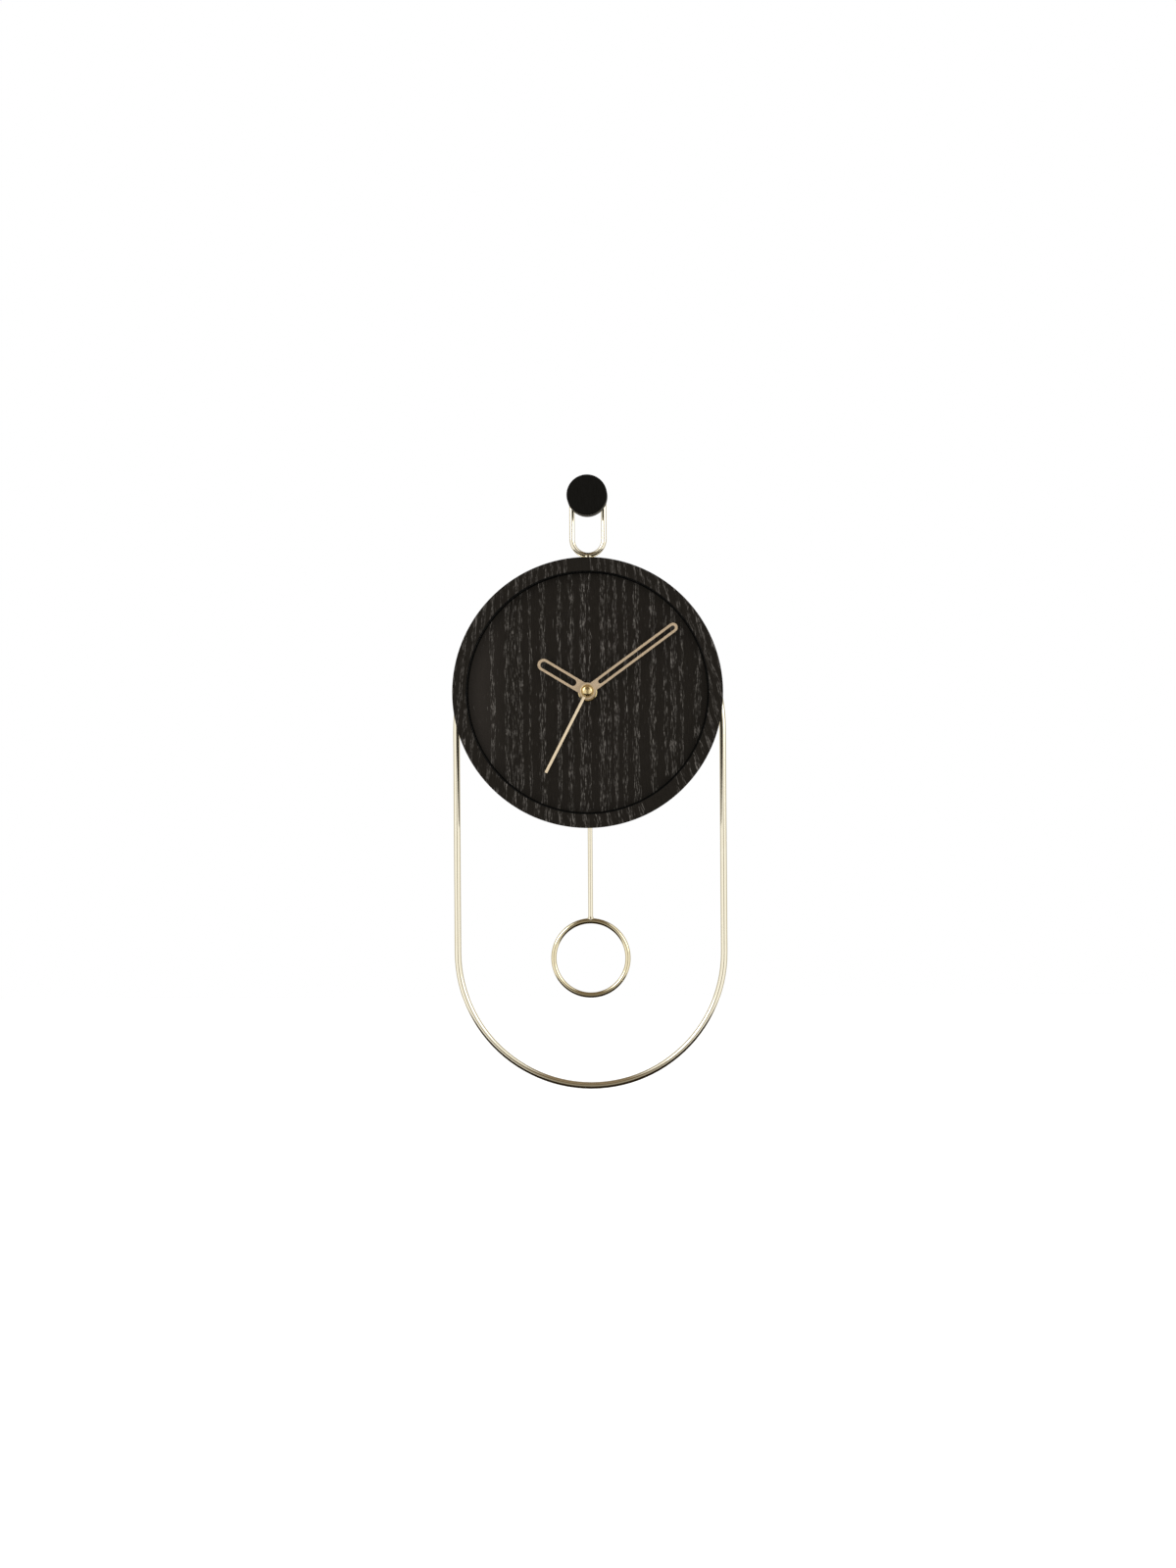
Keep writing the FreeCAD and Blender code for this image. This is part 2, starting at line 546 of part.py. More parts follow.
def make_electrics():
    """Battery, its contacts, the circuit board and the two coils."""
    def at(height):
        return HUB_Z + height

    nub_r = 2.75
    nub_height = 1.2
    shoulder = BATTERY_TOP - nub_height
    battery = Part.makeCylinder(BATTERY_R, BATTERY_LENGTH - nub_height,
                                V(BATTERY_X, BATTERY_Y, at(BATTERY_TOP - BATTERY_LENGTH)), Z_AXIS)
    nub = Part.makeCylinder(nub_r, nub_height, V(BATTERY_X, BATTERY_Y, at(shoulder)), Z_AXIS)
    save("battery", battery.fuse(nub).removeSplitter())

    half = 4.0
    sheet = 0.4
    middle = BATTERY_Y
    low = SHELL_BOTTOM + SHELL_WALL
    leaf = [(middle - 6, low), (middle + 6, low), (middle + 6, low + sheet),
            (middle + 5, low + sheet), (middle, low + 1.7), (middle - 6, low + 1.7),
            (middle - 6, low + 1.3), (middle - 0.2, low + 1.3), (middle + 4, low + sheet),
            (middle - 6, low + sheet)]
    negative = prism_x([(y, at(z)) for y, z in leaf], BATTERY_X - half, BATTERY_X + half)
    positive = block((BATTERY_X - half, BATTERY_X + half), (middle - 6, middle + 6),
                     (at(BAY_TOP - sheet), at(BAY_TOP)))
    dimple = Part.makeCylinder(2.0, BAY_TOP - sheet - BATTERY_TOP - 0.2,
                               V(BATTERY_X, middle, at(BATTERY_TOP + 0.2)), Z_AXIS)
    save("battery_contacts", Part.Compound([negative, positive.fuse(dimple)]))

    board_y = (-27.0, -26.0)
    save("circuit_board", block((-25, 9), board_y, (at(-50), at(-36))))
    crystal = Part.makeCylinder(1.0, 6.0, V(-20, board_y[0] - 1.0, at(-47)), Z_AXIS)
    save("quartz_crystal", crystal)
    save("control_chip", rounded_block((-8, 0), (board_y[0] - 1.2, board_y[0]),
                                       (at(-47), at(-39)), 1.5))

    stator = block((-25, -4), STATOR_LEVEL, (at(-33), at(-5)))
    window = block((-21, -8), (STATOR_LEVEL[0] - 1, STATOR_LEVEL[1] + 1), (at(-30), at(-14)))
    save("motor_stator", stator.cut(window).cut(disc(3.2, -30, -20, *ROTOR)))

    coil_y = sum(STATOR_LEVEL) / 2
    coil_z = at(-31.5)
    core_r = 1.9

    def spool(radius, left, right):
        return Part.makeCylinder(radius, right - left, V(left, coil_y, coil_z), X_AXIS)

    leg = block((-30, 0), STATOR_LEVEL, (at(-33), at(-30)))
    bobbin = spool(core_r, -20.5, -8.5).fuse([spool(2.9, -20.5, -19.7), spool(2.9, -9.3, -8.5)])
    save("coil_bobbin", bobbin.cut(leg).removeSplitter())
    save("motor_coil", spool(2.7, -19.7, -9.3).cut(spool(core_r, -20, -9)))
    save("pendulum_coil", ring(6.5, 2.5, COVER_FRONT - 2.1, COVER_FRONT, 0, at(-20)))


# ---------------------------------------------------------------- wheels and hands

def make_train():
    """Plate and wheels, from the rotor to the hour wheel."""
    plate = block((-26.5, BAY_LEFT - BAY_WALL), PLATE_LEVEL, (HUB_Z - 34, HUB_Z + 24))
    for place, radius in ((THIRD, ARBOR_R), (INTERMEDIATE, ARBOR_R), (ROTOR, ROTOR_ARBOR_R),
                          (SETTING, SETTING_ARBOR_R), (CENTRE, MINUTE_TAIL_R)):
        plate = plate.cut(disc(radius + BEARING_GAP, -40, -30, *place))
    save("train_plate", plate)
    end = SHAFT_WELL - 0.2

    second = gear(SECOND_TEETH[0], FINE, WHEEL_TOOTH, 0, SECOND_LEVEL, CENTRE)
    pinion = gear(SECOND_TEETH[1], FINE, PINION_TOOTH, 0,
                  (THIRD_LEVEL[0] - 0.2, SECOND_LEVEL[0]), CENTRE)
    second = second.fuse(pinion).cut(disc(SECOND_ARBOR_R, -40, -20))
    save("second_wheel", second)
    save("second_arbor", disc(SECOND_ARBOR_R, SECOND_ARBOR_FRONT, end, *CENTRE))

    angle = mate_angle(SECOND_TEETH[0], 0, INTERMEDIATE_TEETH[1], DOWN)
    wheel = gear(INTERMEDIATE_TEETH[0], FINE, WHEEL_TOOTH, 0, INTERMEDIATE_LEVEL, INTERMEDIATE)
    pinion = gear(INTERMEDIATE_TEETH[1], FINE, PINION_TOOTH, angle,
                  (SECOND_LEVEL[0] - 0.3, INTERMEDIATE_LEVEL[0]), INTERMEDIATE)
    shaft = disc(ARBOR_R, PLATE_LEVEL[0] + 0.1, end, *INTERMEDIATE)
    save("intermediate_wheel", wheel.fuse([pinion, shaft]).removeSplitter())

    angle = mate_angle(INTERMEDIATE_TEETH[0], 0, ROTOR_TEETH, LEFT)
    pinion = gear(ROTOR_TEETH, FINE, PINION_TOOTH, angle,
                  (INTERMEDIATE_LEVEL[0] - 0.3, MAGNET_LEVEL[0]), ROTOR)
    shaft = disc(ROTOR_ARBOR_R, PLATE_LEVEL[0] + 0.1, end, *ROTOR)
    hub = disc(1.0, MAGNET_LEVEL[0], MAGNET_LEVEL[1] + 0.3, *ROTOR)
    save("rotor_pinion", pinion.fuse([shaft, hub]).removeSplitter())
    save("rotor_magnet", ring(2.6, 1.0, *MAGNET_LEVEL, *ROTOR))

    angle = mate_angle(SECOND_TEETH[1], 0, THIRD_TEETH[0], UP)
    wheel = gear(THIRD_TEETH[0], FINE, WHEEL_TOOTH, angle, THIRD_LEVEL, THIRD)
    pinion = gear(THIRD_TEETH[1], CENTRE_MODULE, PINION_TOOTH, 0,
                  (CENTRE_LEVEL[0] - 0.3, THIRD_LEVEL[0]), THIRD)
    shaft = disc(ARBOR_R, PLATE_LEVEL[0] + 0.1, end, *THIRD)
    save("third_wheel", wheel.fuse([pinion, shaft]).removeSplitter())

    angle = mate_angle(THIRD_TEETH[1], 0, CENTRE_TEETH, DOWN)
    wheel = gear(CENTRE_TEETH, CENTRE_MODULE, WHEEL_TOOTH, angle, CENTRE_LEVEL, CENTRE)
    save("centre_wheel", wheel.cut(disc(MINUTE_TAIL_R + BEARING_GAP, -40, -30)))

    cannon = gear(CANNON_TEETH, COARSE, PINION_TOOTH, 0, CANNON_LEVEL, CENTRE)
    tube = disc(MINUTE_TUBE_R, MINUTE_TUBE_FRONT, CANNON_LEVEL[1])
    tail = disc(MINUTE_TAIL_R, CANNON_LEVEL[1], THIRD_LEVEL[0] - 0.6)
    cannon = cannon.fuse([tube, tail]).cut(disc(SECOND_ARBOR_R + SHAFT_GAP, -60, -20))
    save("minute_tube", cannon.removeSplitter())

    angle = mate_angle(CANNON_TEETH, 0, MINUTE_TEETH[0], LEFT)
    wheel = gear(MINUTE_TEETH[0], COARSE, WHEEL_TOOTH, angle, CANNON_LEVEL, MINUTE)
    pinion = gear(MINUTE_TEETH[1], HOUR_MODULE, PINION_TOOTH, 0,
                  (HOUR_LEVEL[0] - 0.1, CANNON_LEVEL[0]), MINUTE)
    bore = disc(ARBOR_R + BEARING_GAP, -45, -30, *MINUTE)
    save("minute_wheel", wheel.fuse(pinion).cut(bore).removeSplitter())

    setting_angle = mate_angle(MINUTE_TEETH[0], angle, SETTING_TEETH, LEFT)
    pinion = gear(SETTING_TEETH, COARSE, PINION_TOOTH, setting_angle, CANNON_LEVEL, SETTING)
    shaft = disc(SETTING_ARBOR_R, SHELL_INSIDE - 0.6, COVER_BACK + 0.4, *SETTING)
    knob = turned([(0, COVER_BACK + 0.4), (5.0, COVER_BACK + 0.4), (5.0, COVER_BACK + 3.6),
                   (4.5, COVER_BACK + 4.1), (0, COVER_BACK + 4.1)], *SETTING)
    for number in range(18):
        x, z = polar(5.15, 20 * number)
        knob = knob.cut(disc(0.4, COVER_BACK, COVER_BACK + 5, SETTING[0] + x, SETTING[1] + z))
    save("setting_knob", knob.fuse([pinion, shaft]).removeSplitter())

    angle = mate_angle(MINUTE_TEETH[1], 0, HOUR_TEETH, 0)
    wheel = gear(HOUR_TEETH, HOUR_MODULE, WHEEL_TOOTH, angle, HOUR_LEVEL, CENTRE)
    tube = disc(HOUR_TUBE_R, HOUR_TUBE_FRONT, HOUR_LEVEL[0])
    wheel = wheel.fuse(tube).cut(disc(MINUTE_TUBE_R + SHAFT_GAP, -60, -30))
    save("hour_wheel", wheel.removeSplitter())


def slotted_hand(length, width, slot, angle, front, bore_r):
    """Flat hand with a round tip, a long slot and a round hub."""
    back = front + HAND_THICKNESS
    radius = width / 2
    slot_r = radius - HAND_RAIL
    hand = bar(width, 0, length - radius, front, back).fuse(disc(HUB_R, front, back))
    hand = hand.removeSplitter().cut(disc(bore_r, front - 1, back + 1))
    window = bar(2 * slot_r, slot[0] + slot_r, slot[1] - slot_r, front - 1, back + 1)
    hand = hand.cut(window)
    hand.rotate(V(0, 0, HUB_Z), Y_AXIS, angle)
    return hand


def make_hands():
    save("hour_hand", slotted_hand(bore_r=HOUR_TUBE_R, **HOUR_HAND))
    save("minute_hand", slotted_hand(bore_r=MINUTE_TUBE_R, **MINUTE_HAND))

    boss_back = MINUTE_TUBE_FRONT - 0.5
    plate = (boss_back - 0.7, boss_back - 0.3)
    boss = turned([(0, plate[0] - 1.6), (SECOND_BOSS_R - 1.2, plate[0] - 1.6),
                   (SECOND_BOSS_R - 0.3, plate[0] - 1.1), (SECOND_BOSS_R, plate[0] - 0.4),
                   (SECOND_BOSS_R, plate[0]), (2.2, plate[0]), (2.2, boss_back),
                   (SECOND_ARBOR_R, boss_back), (SECOND_ARBOR_R, SECOND_ARBOR_FRONT),
                   (0, SECOND_ARBOR_FRONT)])
    save("second_hand_boss", boss)

    half = SECOND_HAND_WIDTH / 2
    blade = block((-half, half), plate, (HUB_Z, HUB_Z + SECOND_HAND_LENGTH))
    blade = blade.fuse(disc(3.4, *plate)).removeSplitter().cut(disc(2.2, -60, -50))
    blade.rotate(V(0, 0, HUB_Z), Y_AXIS, SECOND_HAND_ANGLE)
    save("second_hand", blade)


# ---------------------------------------------------------------- pendulum

def make_pendulum():
    hanger = block((-4.5, 4.5), HANGER_LEVEL, (HANGER_END_Z, PIVOT_Z))
    hanger = hanger.fuse([disc(4.5, *HANGER_LEVEL, 0, PIVOT_Z),
                          disc(4.5, *HANGER_LEVEL, 0, HANGER_END_Z)]).removeSplitter()
    magnet_place = (0, HUB_Z - 14.5)
    magnet_r = 3.2
    hanger = hanger.cut(disc(PIVOT_PIN_R + 0.05, -25, -15, 0, PIVOT_Z))
    hanger = hanger.cut(disc(magnet_r, -25, HANGER_LEVEL[1] - 0.6, *magnet_place))
    hanger = hanger.cut(disc(PENDULUM_ROD_R, -25, -15, 0, HANGER_END_Z))
    save("pendulum_hanger", hanger)
    save("drive_magnet", disc(magnet_r, HANGER_LEVEL[0], HANGER_LEVEL[1] - 0.6, *magnet_place))

    ring_solid = bent_rod(RING_ROD_R, RING_PATH_R, V(0, ROD_Y, RING_Z), Y_AXIS, 360)
    save("pendulum_ring", ring_solid)

    ring_top = RING_Z + RING_PATH_R
    bend_z = HANGER_END_Z - PENDULUM_BEND_R
    upright = Part.makeCylinder(PENDULUM_ROD_R, bend_z - ring_top, V(0, ROD_Y, ring_top), Z_AXIS)
    section = Part.makeCircle(PENDULUM_ROD_R, V(0, ROD_Y, bend_z), Z_AXIS)
    bend_centre = V(0, ROD_Y - PENDULUM_BEND_R, bend_z)
    bend = Part.Face(Part.Wire(section)).revolve(bend_centre, X_AXIS, 90)
    hook = disc(PENDULUM_ROD_R, HANGER_LEVEL[0] - 0.2, bend_centre.y, 0, HANGER_END_Z)
    rod = upright.fuse([bend, hook]).removeSplitter().cut(ring_solid)
    save("pendulum_rod", rod)

    joint_z = ring_top + RING_ROD_R
    collar = Part.makeCone(2.6, PENDULUM_ROD_R + 0.1, 1.6, V(0, ROD_Y, joint_z - 0.4), Z_AXIS)
    save("pendulum_weld", collar.cut(ring_solid).cut(rod))


os.makedirs("parts", exist_ok=True)
make_wall_fixing()
make_rod_frame()
make_case()
make_shell()
make_electrics()
make_train()
make_hands()
make_pendulum()
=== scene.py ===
import json
import math

import bpy
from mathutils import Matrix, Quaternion, Vector


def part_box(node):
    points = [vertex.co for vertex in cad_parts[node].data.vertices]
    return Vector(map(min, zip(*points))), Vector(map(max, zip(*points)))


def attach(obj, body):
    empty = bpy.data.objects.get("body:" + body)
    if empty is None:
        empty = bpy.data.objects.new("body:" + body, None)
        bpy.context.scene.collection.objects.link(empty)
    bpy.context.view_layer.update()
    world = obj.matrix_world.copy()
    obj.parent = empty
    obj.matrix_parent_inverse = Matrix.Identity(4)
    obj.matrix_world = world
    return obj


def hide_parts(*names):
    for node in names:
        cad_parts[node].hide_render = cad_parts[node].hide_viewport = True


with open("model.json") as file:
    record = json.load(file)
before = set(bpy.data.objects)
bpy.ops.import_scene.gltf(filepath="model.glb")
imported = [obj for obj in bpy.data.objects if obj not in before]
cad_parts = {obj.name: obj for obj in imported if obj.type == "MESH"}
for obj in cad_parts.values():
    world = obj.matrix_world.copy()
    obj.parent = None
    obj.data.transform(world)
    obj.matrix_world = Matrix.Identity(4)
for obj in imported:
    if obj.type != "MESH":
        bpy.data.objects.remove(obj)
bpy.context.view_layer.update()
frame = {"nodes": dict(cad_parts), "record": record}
NODES = frame["nodes"]
MM = 0.001

# ---------------------------------------------------------------- places in the frame

dial_low, dial_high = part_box("dial_veneer")
edge_low, edge_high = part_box("edge_veneer")
CASE_Z = (dial_low.z + dial_high.z) / 2
CASE_R = (edge_high.x - edge_low.x) / 2
CASE_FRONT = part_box("front_veneer")[0].y
HUB = sum(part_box("second_arbor"), Vector()) / 2

# Inner radius of the front rim and radius of the bushing that shows in the hubs, in millimetres
RIM_INNER = 89.4
BUSHING_R = 5.1


# ---------------------------------------------------------------- material building

class Finish:
    """A principled material whose colour, gloss and relief come from nodes, in millimetres."""

    def __init__(self, name, colour=(0.5, 0.5, 0.5), metallic=0.0, roughness=0.5, specular=0.5):
        self.data = bpy.data.materials.new(name)
        self.data.use_nodes = True
        self.tree = self.data.node_tree
        self.shader = self.tree.nodes["Principled BSDF"]
        self.set("Base Color", (*colour, 1.0))
        self.set("Metallic", metallic)
        self.set("Roughness", roughness)
        self.set("Specular IOR Level", specular)
        self.bump = None
        in_metres = self.node("ShaderNodeTexCoord").outputs["Object"]
        self.place = self.scaled(in_metres, (1 / MM, 1 / MM, 1 / MM))

    def set(self, socket, value):
        self.feed(self.shader.inputs[socket], value)

    def feed(self, socket, value):
        if isinstance(value, bpy.types.NodeSocket):
            self.tree.links.new(value, socket)
        else:
            socket.default_value = value

    def node(self, kind, inputs=(), **settings):
        made = self.tree.nodes.new(kind)
        for key, value in settings.items():
            setattr(made, key, value)
        for key, value in dict(inputs).items():
            self.feed(made.inputs[key], value)
        return made

    def math(self, operation, a, b=0.0, c=0.0):
        return self.node("ShaderNodeMath", {0: a, 1: b, 2: c}, operation=operation).outputs[0]

    def scaled(self, vector, factors):
        made = self.node("ShaderNodeVectorMath", {0: vector, 1: factors}, operation="MULTIPLY")
        return made.outputs[0]

    def shifted(self, vector, offset):
        made = self.node("ShaderNodeVectorMath", {0: vector, 1: offset}, operation="ADD")
        return made.outputs[0]

    def split(self, vector):
        return self.node("ShaderNodeSeparateXYZ", {0: vector}).outputs[0:3]

    def join(self, x, y, z):
        return self.node("ShaderNodeCombineXYZ", {0: x, 1: y, 2: z}).outputs[0]

    def length(self, a, b):
        """Distance from an axis, from the two offsets across it."""
        return self.math("SQRT", self.math("ADD", self.math("POWER", a, 2.0),
                                           self.math("POWER", b, 2.0)))

    def noise(self, vector, scale=1.0, detail=2.0, roughness=0.5):
        made = self.node("ShaderNodeTexNoise", {"Vector": vector, "Scale": scale, "Detail": detail,
                                                "Roughness": roughness})
        return made.outputs[0]

    def step(self, value, low, high, start=0.0, end=1.0):
        """Smooth change from start to end while the value goes from low to high."""
        made = self.node("ShaderNodeMapRange", {"Value": value, "From Min": low, "From Max": high,
                                                "To Min": start, "To Max": end},
                         interpolation_type="SMOOTHSTEP")
        return made.outputs[0]

    def mix(self, factor, a, b):
        made = self.node("ShaderNodeMix", data_type="RGBA")
        self.feed(made.inputs[0], factor)
        self.feed(made.inputs[6], a if isinstance(a, bpy.types.NodeSocket) else (*a, 1.0))
        self.feed(made.inputs[7], b if isinstance(b, bpy.types.NodeSocket) else (*b, 1.0))
        return made.outputs[2]

    def relief(self, height, depth_mm):
        """Bump of that depth; later calls add to earlier ones."""
        made = self.node("ShaderNodeBump", {"Strength": 1.0, "Distance": depth_mm * MM,
                                            "Height": height})
        if self.bump is not None:
            self.feed(made.inputs["Normal"], self.bump)
        self.bump = made.outputs[0]
        self.set("Normal", self.bump)


# ---------------------------------------------------------------- wood

WOOD_DARK = (0.0075, 0.0059, 0.0042)
WOOD_PALE = (0.0128, 0.0104, 0.0078)
# Lighter colour of a painted sheen, standing in for the soft reflection of a light at the left
PAINTED_SHEEN = (0.030, 0.025, 0.021)
PORE_FILLER = (0.108, 0.098, 0.087)
# Near-black painted shade for the thin ring where the dial sits in the rim's shadow
RIM_SHADE_BLACK = (0.0009, 0.0008, 0.0006)
RING_PERIOD = 6.4
EDGE_BLUR = 1.5


def lie_of_grain(m, up, seed, slant, around):
    """Distance across the grain and place in the wood, with the slow sway of its growth.

    The grain runs upright, or leans from one slant at the left to another at the right, or goes
    round the edge of the case.
    """
    x, y, z = m.split(m.place)
    if around:
        across = y
        along = m.math("MULTIPLY", m.math("ARCTAN2", x, up), CASE_R / MM)
    else:
        lean = m.step(x, -95.0, 95.0, slant[0], slant[1])
        across = m.math("MULTIPLY_ADD", up, lean, x)
        along = up
    offset = (seed * 37.0, seed * 11.0, seed * 53.0)
    flat = m.shifted(m.join(across, 0.0, along), offset)
    for pace, reach in (((0.05, 1.0, 0.020), 4.0), ((0.30, 1.0, 0.13), 1.5)):
        sway = m.noise(m.scaled(flat, pace), detail=1.0)
        across = m.math("MULTIPLY_ADD", m.math("SUBTRACT", sway, 0.5), reach, across)
    return across, m.shifted(m.join(across, 0.0, along), offset)


def pore_crowding(m, across, grain, lines):
    """How crowded the pores are: along the given lines, or along even growth rings."""
    if lines:
        crowd = 0.0
        for middle, half, strength in lines:
            off = m.math("ABSOLUTE", m.math("SUBTRACT", across, middle))
            crowd = m.math("MAXIMUM", m.step(off, half * 0.6, half * 1.5, strength, 0.0), crowd)
        return crowd
    rings = m.math("SINE", m.math("MULTIPLY", across, 2 * math.pi / RING_PERIOD))
    uneven = m.noise(m.scaled(grain, (0.16, 1.0, 0.010)), detail=1.0)
    return m.step(m.math("MULTIPLY_ADD", m.math("SUBTRACT", uneven, 0.5), 3.6, rings), -0.9, 0.6)


def open_pores(m, grain, crowd):
    """Long broken dashes along the grain, which are more frequent where they crowd."""
    thread = m.noise(m.scaled(grain, (1.5, 1.0, 0.11)), detail=1.0, roughness=0.55)
    broken = m.noise(m.scaled(grain, (0.8, 1.0, 0.36)), detail=2.0, roughness=0.6)
    reach = m.math("MULTIPLY_ADD", crowd, -0.19, 0.67)
    dash = m.step(m.math("SUBTRACT", thread, reach), 0.0, 0.10)
    return m.math("MULTIPLY", dash, m.step(broken, 0.36, 0.60, 0.10, 1.0))


def veneer(name, seed, lines=(), slant=(0.0, 0.0), bare=(), around=False, shade=(), sheen=0.0):
    """Black stained open-pore ash; the pores hold a pale grey filler and crowd into lines.

    bare lists strips with few pores, as (low, high, above +1 or below -1 the middle); shade is
    where the painted shade along the rim's inner edge begins and ends, as radii; sheen lightens
    the left part with a painted sheen.
    """
    m = Finish(name, roughness=0.46, specular=0.07)
    x, y, z = m.split(m.place)
    up = m.math("SUBTRACT", z, CASE_Z / MM)
    across, grain = lie_of_grain(m, up, seed, slant, around)
    dash = open_pores(m, grain, pore_crowding(m, across, grain, lines))

    filler = m.noise(m.scaled(grain, (0.30, 1.0, 0.06)), detail=2.0, roughness=0.7)
    pale = m.math("MULTIPLY", dash, m.step(filler, 0.30, 0.66, 0.25, 1.0))
    for low, high, side in bare:
        inside = m.math("MULTIPLY", m.step(across, low - EDGE_BLUR, low + EDGE_BLUR),
                        m.step(across, high + EDGE_BLUR, high - EDGE_BLUR))
        inside = m.math("MULTIPLY", inside, m.step(m.math("MULTIPLY", up, side), -1.0, 1.0))
        pale = m.math("MULTIPLY", pale, m.math("SUBTRACT", 1.0, inside))

    fibre = m.noise(m.scaled(grain, (2.4, 1.0, 0.10)), detail=3.0, roughness=0.6)
    fibre = m.step(fibre, 0.25, 0.75)
    ground = m.mix(fibre, WOOD_DARK, WOOD_PALE)
    # Painted sheen: the wood colour is lightened towards the left edge
    if sheen:
        ground = m.mix(m.step(x, -86.0, -55.0, sheen, 0.0), ground, PAINTED_SHEEN)
    colour = m.mix(pale, ground, PORE_FILLER)
    # Painted shade: near-black in a thin ring along the rim's inner edge, on the dial and on the
    # rim
    if shade:
        colour = m.mix(m.step(m.length(x, up), *shade), colour, RIM_SHADE_BLACK)
    m.set("Base Color", colour)
    m.set("Roughness", m.step(pale, 0.0, 1.0, 0.44, 0.62))
    m.relief(m.math("MULTIPLY", dash, -1.0), 0.05)
    m.relief(fibre, 0.012)
    return m.data


def stained_wood(name):
    """Black close-grained turned wood."""
    m = Finish(name, roughness=0.4, specular=0.06)
    fibre = m.noise(m.scaled(m.place, (1.6, 1.6, 0.12)), detail=3.0)
    m.set("Base Color", m.mix(fibre, (0.0024, 0.0021, 0.0015), (0.0068, 0.0063, 0.0051)))
    m.set("Roughness", m.step(fibre, 0.3, 0.7, 0.34, 0.48))
    m.relief(fibre, 0.02)
    return m.data


def board(name):
    """Fibreboard under matt black paint, with the fibres telling through."""
    m = Finish(name, roughness=0.7, specular=0.25)
    fleck = m.noise(m.place, 1.3, detail=4.0, roughness=0.7)
    cloud = m.noise(m.place, 0.05, detail=2.0)
    m.set("Base Color", m.mix(cloud, (0.007, 0.0065, 0.006), (0.013, 0.012, 0.011)))
    m.set("Roughness", m.step(fleck, 0.3, 0.7, 0.6, 0.85))
    m.relief(fleck, 0.08)
    return m.data


# ---------------------------------------------------------------- metal and plastic

def polished(name, low, high, roughness, marks):
    """Metal with faint tone changes and fine wiping marks of that depth in millimetres."""
    m = Finish(name, metallic=1.0, roughness=roughness)
    cloud = m.noise(m.place, 0.08, detail=3.0)
    mark = m.noise(m.place, 2.4, detail=3.0, roughness=0.65)
    m.set("Base Color", m.mix(cloud, low, high))
    m.set("Roughness", m.step(mark, 0.25, 0.75, roughness * 0.75, roughness * 1.3))
    m.relief(mark, marks)
    return m.data


def hand_metal(name, low, high, metallic, roughness):
    """Satin lacquered metal with fine speckle, and a turned brass bushing about the hub."""
    m = Finish(name, metallic=metallic, roughness=roughness)
    speckle = m.noise(m.place, 2.2, detail=3.0, roughness=0.7)
    speckle = m.step(speckle, 0.3, 0.7)
    x, y, z = m.split(m.place)
    out = m.length(x, m.math("SUBTRACT", z, HUB.z / MM))
    bushing = m.step(out, BUSHING_R + 0.2, BUSHING_R - 0.2)
    m.set("Base Color", m.mix(bushing, m.mix(speckle, low, high), (0.80, 0.62, 0.33)))
    m.set("Metallic", m.step(bushing, 0.0, 1.0, metallic, 1.0))
    m.set("Roughness", m.step(speckle, 0.0, 1.0, roughness * 0.85, roughness * 1.2))
    turning_pitch = 1.1
    rings = m.math("SINE", m.math("MULTIPLY", out, 2 * math.pi / turning_pitch))
    m.relief(m.math("MULTIPLY", bushing, rings), 0.06)
    m.relief(speckle, 0.006)
    return m.data


def plastic(name, low, high, roughness, grain):
    """Moulded plastic with a fine spark-eroded texture of that depth in millimetres."""
    m = Finish(name, roughness=roughness, specular=0.4)
    cloud = m.noise(m.place, 0.12, detail=2.0)
    spark = m.noise(m.place, 4.5, detail=2.0)
    m.set("Base Color", m.mix(cloud, low, high))
    m.set("Roughness", m.step(spark, 0.3, 0.7, roughness * 0.85, roughness * 1.15))
    m.relief(spark, grain)
    return m.data


def winding(name, pitch_mm, flat):
    """Enamelled copper wire in neat turns, as a flat coil about Y or as a spool along X."""
    m = Finish(name, metallic=0.85, roughness=0.3)
    x, y, z = m.split(m.place)
    turn = x
    if flat:
        coil = sum(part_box("pendulum_coil"), Vector()) / 2
        turn = m.length(x, m.math("SUBTRACT", z, coil.z / MM))
    wave = m.math("SINE", m.math("MULTIPLY", turn, 2 * math.pi / pitch_mm))
    tone = m.noise(m.place, 0.9, detail=2.0)
    m.set("Base Color", m.mix(tone, (0.36, 0.10, 0.035), (0.58, 0.20, 0.08)))
    m.relief(wave, 0.05)
    return m.data


# ---------------------------------------------------------------- materials of the pieces

# Lines of crowded pores on the dial: distance from its middle, half width (mm) and strength
DIAL_LINES = ((-70.7, 1.9, 1.0), (-59.5, 1.9, 0.95), (-54.5, 2.6, 0.8), (-49.6, 1.6, 1.0),
              (-42.4, 1.3, 0.85), (-33.3, 2.2, 1.0), (-20.9, 1.8, 0.95), (-12.2, 2.0, 0.95),
              (-3.2, 2.4, 1.0), (1.4, 1.2, 0.9), (10.9, 2.1, 1.0), (15.6, 1.3, 0.85),
              (20.8, 1.8, 1.0), (28.1, 1.5, 0.9), (36.2, 2.4, 1.0), (48.5, 2.3, 1.0),
              (57.9, 1.4, 0.85), (63.4, 2.3, 1.0), (69.6, 1.5, 0.9), (81.4, 2.3, 1.0))

